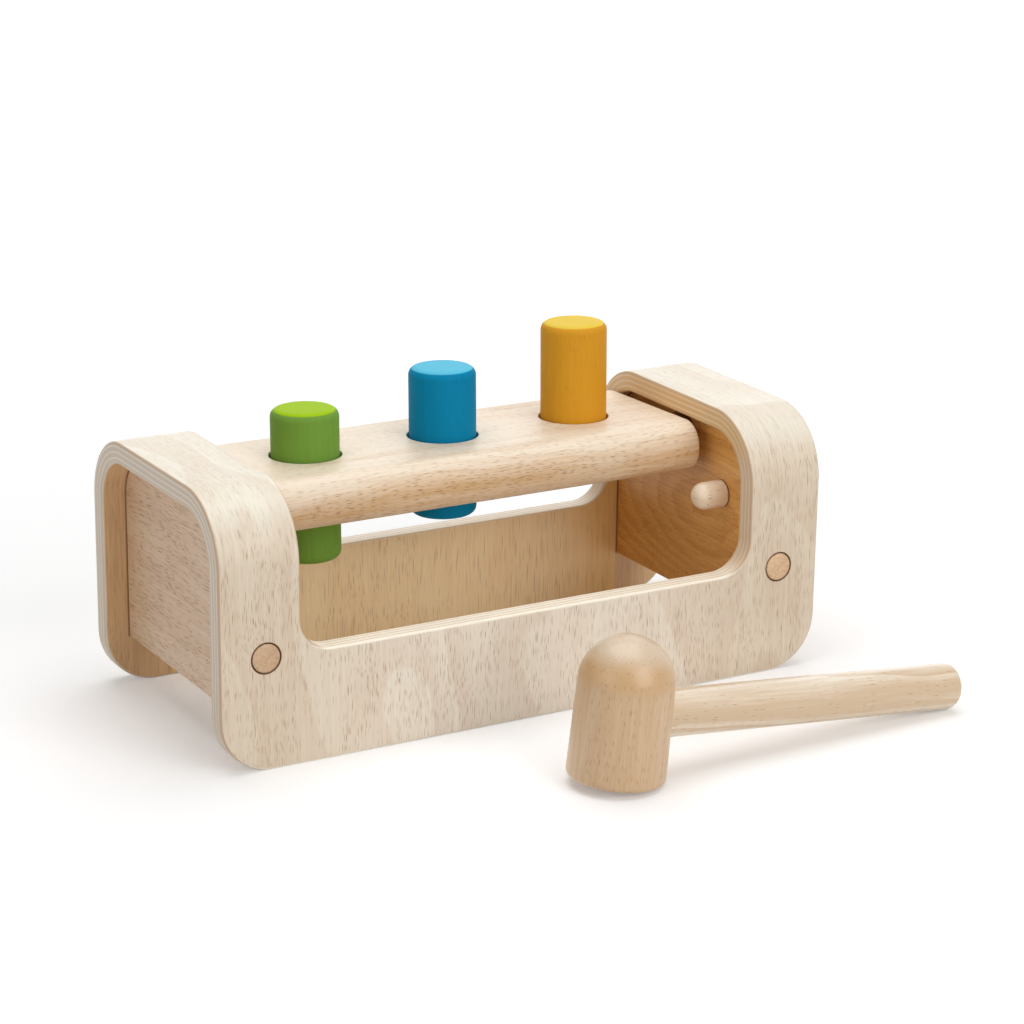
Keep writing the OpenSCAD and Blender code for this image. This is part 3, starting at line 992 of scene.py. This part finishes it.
class BENCH_OT_panels(bpy.types.Operator):
    """Saws the two end panels to the inside of the arch"""
    bl_idname = "bench.panels"
    bl_label = "End panels"

    def execute(self, context):
        sizes = context.scene.bench_sizes
        colours = context.scene.bench_colours
        woods = {
            "left": solid_wood("left panel wood", tones(colours, "panel"), LEFT_PANEL),
            "right": shaded_panel_wood(colours, RIGHT_PANEL),
        }
        half_w = PANEL.y / 2
        shoulder = sizes.panel_shoulder
        outline = [(-half_w, 0), (half_w, 0)]
        outline += arc((half_w - shoulder, PANEL.z - shoulder), shoulder, 0, 90, CORNER_STEPS)
        outline += arc((shoulder - half_w, PANEL.z - shoulder), shoulder, 90, 180, CORNER_STEPS)
        for side, wood in woods.items():
            node = side + "_end_panel"
            low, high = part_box(node)
            bm = bmesh.new()
            outline_face(bm, outline)
            thicken(bm, PANEL.x)
            ease(bm, sharp_edges(bm), sizes.panel_ease)
            mark_grain(bm, board_grain)
            upright = Matrix(((0, 0, 1, high.x), (1, 0, 0, BENCH_MIDDLE.y), (0, 1, 0, low.z), (0, 0, 0, 1)))
            piece(side + "_panel_board", bm, upright, "bench", node, wood)
        return {"FINISHED"}


class BENCH_OT_rods(bpy.types.Operator):
    """Turns the panel dowels, stop pins, axle dowels and their spacers"""
    bl_idname = "bench.rods"
    bl_label = "Dowels, pins and axles"

    def execute(self, context):
        sizes = context.scene.bench_sizes
        colours = context.scene.bench_colours
        # The dowels are painted dark with gap shade from just outside the plywood's face into their holes.
        proud = BENCH_MIDDLE.y - SHELL.y / 2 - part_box("front_left_dowel")[0].y
        clear, dark = 0.8 * proud / MM, 2 * proud / MM
        dowel_look = DOWELS._replace(sunk=(clear, dark))
        wood = solid_wood("pin wood", tones(colours, "pin"), PINS)
        for side, outward in (("left", -1), ("right", 1)):
            inward = Vector((-outward, 0, 0))
            dowel = solid_wood(side + " dowel wood", tones(colours, "dowel", DOWEL_SHADE[side]), dowel_look)
            for wall, into in (("front", 1), ("back", -1)):
                bm = lathe(rod_profile(DOWEL.x, DOWEL.y, sizes.dowel_edge, sizes.dowel_edge))
                rod_piece(bm, f"{wall}_{side}_dowel", Vector((0, into, 0)), DOWEL.y, dowel)
            for wall in ("front", "rear"):
                bm = lathe(rod_profile(PIN.z, PIN.x, sizes.hidden_ease, sizes.pin_nose))
                rod_piece(bm, f"{wall}_{side}_stop_pin", inward, PIN.x, wood)
            bm = lathe(rod_profile(AXLE_ROD.z, AXLE_ROD.x, sizes.hidden_ease, sizes.hidden_ease))
            rod_piece(bm, side + "_axle", inward, AXLE_ROD.x, wood)
            bm = spacer_ring(SPACER.z / 2, AXLE_ROD.z / 2, SPACER.x, sizes.spacer_ease)
            rod_piece(bm, side + "_spacer", inward, SPACER.x, wood)
        return {"FINISHED"}


def rod_piece(bm, node, direction, length, wood):
    """Lays a rod that was turned along Z into its node's place."""
    mark_grain(bm, rod_grain)
    turned = direction.to_track_quat("Z", "Y").to_matrix().to_4x4()
    start = middle(node) - direction * length / 2
    piece(node + "_turned", bm, Matrix.Translation(start) @ turned, "bench", node, wood)


# Peg bar and pegs

def bar_turn():
    """How the bar leans on its pins."""
    return Matrix.Rotation(-BAR_LEAN, 4, "X")


class BENCH_OT_bar(bpy.types.Operator):
    """Drills the peg bar and rounds its long edges"""
    bl_idname = "bench.bar"
    bl_label = "Peg bar"

    def execute(self, context):
        sizes = context.scene.bar_sizes
        colours = context.scene.bench_colours
        half_l = extent("peg_bar").x / 2
        half_w = sizes.width / 2
        end_margin = 5 * MM
        half_hole, edge_steps = 32, 12
        outline = [(-half_l, 0)]
        for name in PEGS:
            outline += arc((middle(name + "_peg").x - AXLE.x, 0), sizes.hole / 2, 180, 0, half_hole)
        outline += [(half_l, 0), (half_l, half_w), (-half_l, half_w)]
        bm = bmesh.new()
        outline_face(bm, outline)
        mirror(bm, ("Y",))
        thicken(bm, sizes.thickness)
        bmesh.ops.translate(bm, verts=bm.verts[:], vec=(0, 0, sizes.thickness / 2))

        def long_edge(edge):
            first, second = (vert.co for vert in edge.verts)
            at_side = min(abs(first.y), abs(second.y)) > half_w - AT_FACE
            return at_side and abs(first.x - second.x) > half_l

        def end_edge(edge):
            at_end = all(abs(vert.co.x) > half_l - AT_FACE for vert in edge.verts)
            return at_end and any(abs(face.normal.x) > FACING for face in edge.link_faces)

        def hole_rim(edge):
            off_ends = all(abs(vert.co.x) < half_l - end_margin for vert in edge.verts)
            return off_ends and any(abs(face.normal.z) > FACING for face in edge.link_faces)

        ease(bm, sharp_edges(bm, long_edge), sizes.round, edge_steps)
        ease(bm, sharp_edges(bm, end_edge), sizes.end_ease)
        ease(bm, sharp_edges(bm, hole_rim), sizes.hole_ease)
        mark_grain(bm, board_grain)
        place = Matrix.Translation(AXLE) @ bar_turn() @ Matrix.Translation((0, sizes.offset, 0))
        wood = solid_wood("bar wood", tones(colours, "bar"), BAR)
        piece("peg_bar_board", bm, place, "swing_bar", "peg_bar", wood)
        return {"FINISHED"}


class BENCH_OT_pegs(bpy.types.Operator):
    """Turns and stains the three pegs, and makes the friction rings that hold them"""
    bl_idname = "bench.pegs"
    bl_label = "Pegs and friction rings"

    def execute(self, context):
        sizes = context.scene.bar_sizes
        colours = context.scene.bench_colours
        soft = rubber(colours.rubber)
        profile = rod_profile(sizes.peg, sizes.peg_length, sizes.peg_round, sizes.peg_round, RIM_STEPS)
        foot = Matrix.Translation((0, 0, -sizes.peg_length / 2))
        for number, name in enumerate(PEGS):
            node = name + "_peg"
            bm = lathe(profile, SMOOTH_STEPS)
            mark_grain(bm, rod_grain)
            look = STAIN._replace(shift=tuple(PEG_SHIFT * number))
            stained = stained_wood(name + " stain", getattr(colours, name), getattr(colours, name + "_end"),
                                   sizes, look)
            place = Matrix.Translation(middle(node)) @ bar_turn() @ foot
            piece(node + "_turned", bm, place, name + "_peg_body", node, stained)
            ring = name + "_friction_ring"
            bm = rubber_ring(sizes.ring / 2, extent(ring).x / 2 - sizes.ring / 2)
            mark_grain(bm, board_grain)
            seat = Matrix.Translation(middle(ring)) @ bar_turn()
            piece(name + "_rubber_ring", bm, seat, "swing_bar", ring, soft)
        return {"FINISHED"}


# Hammer

class BENCH_OT_hammer(bpy.types.Operator):
    """Turns the hammer's head and handle and lays them on the floor"""
    bl_idname = "bench.hammer"
    bl_label = "Hammer"

    def execute(self, context):
        sizes = context.scene.hammer_sizes
        colours = context.scene.bench_colours
        place = hammer_place(sizes)
        face = sizes.face / 2
        shoulder = sizes.shoulder / 2
        dome_steps = 24
        profile = [(0, 0)]
        profile += arc((face - sizes.rim, sizes.rim), sizes.rim, -90, 0, RIM_STEPS)
        profile += arc((0, sizes.height - shoulder), shoulder, 0, 90, dome_steps)
        profile[-1] = (0, sizes.height)
        bm = lathe(profile, SMOOTH_STEPS)
        mark_grain(bm, rod_grain)
        wood = domed_wood(colours, sizes, HEAD)
        piece("hammer_head_turned", bm, place, "hammer", "hammer_head", wood)
        length = sizes.seat + sizes.reach
        bm = lathe(rod_profile(sizes.handle, length, sizes.seat_end, sizes.end, RIM_STEPS))
        mark_grain(bm, rod_grain)
        socket = Matrix.Translation((-sizes.seat, 0, sizes.level)) @ Matrix.Rotation(QUARTER_TURN, 4, "Y")
        wood = solid_wood("hammer handle wood", tones(colours, "handle"), HANDLE)
        piece("hammer_handle_turned", bm, place @ socket, "hammer", "hammer_handle", wood)
        return {"FINISHED"}


def hammer_place(sizes):
    """The hammer leans until the end of its handle touches the floor."""
    rim = Vector((sizes.face / 2 - sizes.rim, sizes.rim))
    end = Vector((sizes.reach - sizes.end, sizes.level - sizes.handle / 2 + sizes.end))
    run = end - rim
    lean = math.atan2(run.y, run.x) - math.asin((sizes.end - sizes.rim) / run.length)
    lift = sizes.rim + rim.x * math.sin(lean) - sizes.rim * math.cos(lean)
    return (Matrix.Translation((sizes.x, sizes.y, lift)) @ Matrix.Rotation(sizes.yaw, 4, "Z")
            @ Matrix.Rotation(lean, 4, "Y"))


# Stage

class Lamp(NamedTuple):
    """A soft square light: where it stands and points, its width in metres and its power in watts."""
    name: str
    place: tuple
    aim: tuple
    width: float
    power: float


LAMPS = (
    Lamp("overhead lamp", (0.05, 0.15, 1.25), (0.0, 0.03, 0.05), 1.2, 10.2),
    Lamp("front lamp", (0.33, -1.41, 0.73), (0.0, 0.0, 0.05), 1.1, 10.6),
    Lamp("left lamp", (-1.45, -0.35, 0.65), (0.0, 0.0, 0.05), 0.9, 3.2),
    Lamp("back lamp", (0.8, 1.4, 0.7), (0.0, 0.03, 0.06), 1.4, 3.6),
)
WORLD_LIGHT = 0.2
FLOOR_HALF = 4.0
GLOW_FROM, GLOW_FULL = 0.25, 1.2
GLOW_NEAR, GLOW_FAR = 0.2, 0.8
SENSOR = 36
CLIP_NEAR = 0.05


class BENCH_OT_stage(bpy.types.Operator):
    """Lays a plain floor, lights it softly and sets the camera"""
    bl_idname = "bench.stage"
    bl_label = "Floor, light and camera"

    def execute(self, context):
        scene = context.scene
        scene.view_settings.view_transform = "Standard"
        self.floor(scene)
        self.light(scene)
        self.camera(scene)
        return {"FINISHED"}

    def floor(self, scene):
        bm = bmesh.new()
        bmesh.ops.create_grid(bm, x_segments=1, y_segments=1, size=FLOOR_HALF)
        mesh = bpy.data.meshes.new("floor")
        bm.to_mesh(mesh)
        bm.free()
        obj = bpy.data.objects.new("floor", mesh)
        scene.collection.objects.link(obj)
        finish = Finish("plain floor")
        place = finish.add("ShaderNodeTexCoord").outputs["Object"]
        away = finish.vector("LENGTH", place, output="Value")
        glow = finish.span(away, GLOW_FROM, GLOW_FULL, GLOW_NEAR, GLOW_FAR)
        finish.shade(Base_Color=opaque(scene.bench_colours.floor), Roughness=0.9, Specular_IOR_Level=0.0,
                     Emission_Color=WHITE, Emission_Strength=finish.times(finish.in_view(), glow))
        mesh.materials.append(finish.material)

    def light(self, scene):
        world = bpy.data.worlds.new("soft white studio")
        scene.world = world
        world.use_nodes = True
        nodes = Nodes(world.node_tree)
        strength = nodes.span(nodes.in_view(), 0.0, 1.0, WORLD_LIGHT, 1.0, smooth=False)
        nodes.fill(world.node_tree.nodes["Background"], Color=WHITE, Strength=strength)
        for lamp in LAMPS:
            data = bpy.data.lights.new(lamp.name, "AREA")
            data.size = lamp.width
            data.energy = lamp.power
            obj = bpy.data.objects.new(lamp.name, data)
            obj.location = lamp.place
            obj.rotation_euler = (Vector(lamp.aim) - Vector(lamp.place)).to_track_quat("-Z", "Y").to_euler()
            scene.collection.objects.link(obj)

    def camera(self, scene):
        view = scene.bench_view
        data = bpy.data.cameras.new("camera")
        data.lens = view.lens
        data.sensor_width = SENSOR
        data.clip_start = CLIP_NEAR
        camera = bpy.data.objects.new("camera", data)
        level = math.cos(view.pitch)
        back = Vector((math.sin(view.yaw) * level, -math.cos(view.yaw) * level, math.sin(view.pitch)))
        right = Vector((math.cos(view.yaw), math.sin(view.yaw), 0))
        axes = Matrix((right, back.cross(right), back)).transposed().to_4x4()
        place = Matrix.Translation(Vector(view.target) + back * view.distance)
        camera.matrix_world = place @ axes @ Matrix.Rotation(view.roll, 4, "Z")
        scene.collection.objects.link(camera)
        scene.camera = camera


class BENCH_PT_sidebar(bpy.types.Panel):
    """Lists the pieces of the bench and the stage"""
    bl_label = "Peg pounding bench"
    bl_idname = "BENCH_PT_sidebar"
    bl_space_type = "VIEW_3D"
    bl_region_type = "UI"
    bl_category = "Pounding bench"

    def draw(self, context):
        for operator in OPERATORS:
            self.layout.operator(operator.bl_idname)


GROUPS = {"bench_sizes": BenchSizes, "bar_sizes": BarSizes, "hammer_sizes": HammerSizes,
          "bench_colours": Colours, "bench_view": ViewSettings}
OPERATORS = (BENCH_OT_shell, BENCH_OT_panels, BENCH_OT_rods, BENCH_OT_bar, BENCH_OT_pegs, BENCH_OT_hammer,
             BENCH_OT_stage)


def register():
    for group in GROUPS.values():
        bpy.utils.register_class(group)
    for name, group in GROUPS.items():
        setattr(bpy.types.Scene, name, PointerProperty(type=group))
    for operator in OPERATORS:
        bpy.utils.register_class(operator)
    bpy.utils.register_class(BENCH_PT_sidebar)


def unregister():
    bpy.utils.unregister_class(BENCH_PT_sidebar)
    for operator in reversed(OPERATORS):
        bpy.utils.unregister_class(operator)
    for name in GROUPS:
        delattr(bpy.types.Scene, name)
    for group in reversed(list(GROUPS.values())):
        bpy.utils.unregister_class(group)


def main():
    register()
    for make in (bpy.ops.bench.shell, bpy.ops.bench.panels, bpy.ops.bench.rods, bpy.ops.bench.bar,
                 bpy.ops.bench.pegs, bpy.ops.bench.hammer, bpy.ops.bench.stage):
        make()


if __name__ == "__main__":
    main()
